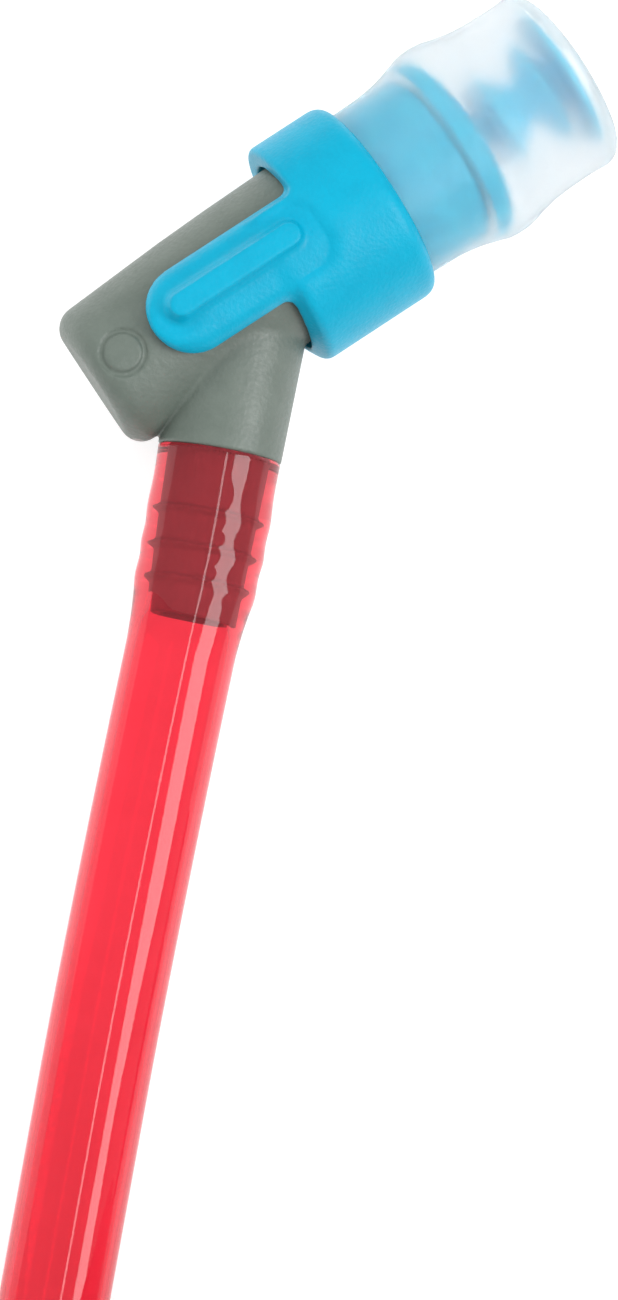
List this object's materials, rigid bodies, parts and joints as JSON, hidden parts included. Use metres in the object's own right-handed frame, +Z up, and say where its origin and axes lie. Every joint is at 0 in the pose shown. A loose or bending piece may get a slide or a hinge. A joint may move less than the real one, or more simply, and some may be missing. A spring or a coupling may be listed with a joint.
{
  "type": "hydration bladder drinking tube with bite valve",
  "caption": "Drinking tube of a hydration bladder with an angled twist-lock bite valve, a silicone mouthpiece and a quick-connect plug, its spare length coiled.",
  "frame": {"origin": "middle of the valve's box, measured without the tube, on the surface it lies on", "axes": "+Z up out of the surface, on the lever's side; the tube leaves the valve towards -Y; the mouthpiece points between +X and +Y"},
  "size_m": [0.1168, 0.2178, 0.0285],
  "materials": {
    "grey_body": "fine matte moulded grain",
    "blue_collar": "satin moulded",
    "blue_stem": "smooth moulded",
    "silicone": "frosted translucent silicone",
    "tube": "glossy translucent flexible tube",
    "seals": "matte seal rubber"
  },
  "bodies": {
    "elbow": {"elbow_body": "grey_body", "port_seat": "seals", "drink_tube": "tube", "tube_coil": "tube", "tube_tail": "tube", "plug_body": "grey_body", "plug_o_ring": "seals"},
    "valve": {"twist_collar": "blue_collar", "rotor_stem": "blue_stem", "o_ring_rear": "seals", "o_ring_front": "seals", "seal_plunger": "blue_stem", "mouthpiece": "silicone"}
  },
  "joints": [
    {"name": "collar_twist", "type": "hinge", "parent": "elbow", "child": "valve", "pos_m": [-0.00702, 0.00052, 0.00946], "axis": [-0.723, -0.6909, 0], "range_deg": [0, 90]}
  ]
}
